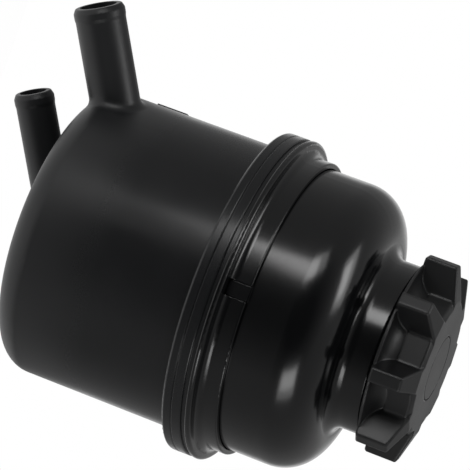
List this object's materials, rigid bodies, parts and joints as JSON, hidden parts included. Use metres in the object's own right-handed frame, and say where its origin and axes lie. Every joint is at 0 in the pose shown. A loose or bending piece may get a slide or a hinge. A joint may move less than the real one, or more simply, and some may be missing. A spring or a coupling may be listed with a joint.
{
  "type": "power steering reservoir",
  "caption": "Black moulded steering fluid reservoir: round canister with two hose nipples, keyed collar, domed top and lobed screw cap.",
  "frame": {"origin": "on the body's axis, at the middle of the clamp band on the canister's wall", "axes": "+Z along the body's axis from the floor to the cap, +X the side that both hose nipples point to"},
  "size_m": [0.1378, 0.1124, 0.1641],
  "materials": {
    "canister_black": "satin moulded glass-filled nylon",
    "dome_black": "semi-gloss moulded plastic",
    "cap_black": "satin moulded plastic",
    "seal_rubber": "matt nitrile rubber",
    "stick_natural": "natural moulded plastic",
    "inner_nylon": "natural moulded nylon",
    "mesh_nylon": "woven nylon mesh",
    "filter_paper": "resin-treated pleated paper",
    "spring_steel": "drawn spring wire",
    "zinc_steel": "zinc-plated pressed steel"
  },
  "bodies": {
    "reservoir": {"canister": "canister_black", "collar": "dome_black", "dome": "dome_black", "joint_seal": "seal_rubber", "baffle_plate": "inner_nylon", "strainer_frame": "inner_nylon", "strainer_mesh": "mesh_nylon", "filter_seal": "seal_rubber", "filter_lower_cap": "inner_nylon", "filter_upper_cap": "inner_nylon", "filter_media": "filter_paper", "filter_core_tube": "inner_nylon", "filter_spring": "spring_steel", "bypass_valve_spring": "spring_steel"},
    "gasket": {"cap_gasket": "seal_rubber"},
    "cap": {"cap_body": "cap_black", "cap_disc": "cap_black", "vent_membrane": "seal_rubber", "dipstick": "stick_natural"},
    "bypass_valve": {"bypass_valve_disc": "zinc_steel"}
  },
  "joints": [
    {"name": "cap_lift", "type": "slide", "parent": "reservoir", "child": "gasket", "axis": [0, 0, 1], "range_m": [0, 0.0064]},
    {"name": "cap_turn", "type": "hinge", "parent": "gasket", "child": "cap", "pos_m": [0, 0, 0.079], "axis": [0, 0, 1], "range_deg": [0, 720]},
    {"name": "bypass_lift", "type": "slide", "parent": "reservoir", "child": "bypass_valve", "axis": [0, 0, 1], "range_m": [0, 0.0025], "stiffness_N_per_m": 600, "springref_m": -0.002, "deforming": ["bypass_valve_spring"]}
  ],
  "couplings": [
    {"joint": "cap_turn", "follows": "cap_lift", "rad_per_m": 1963.5}
  ]
}
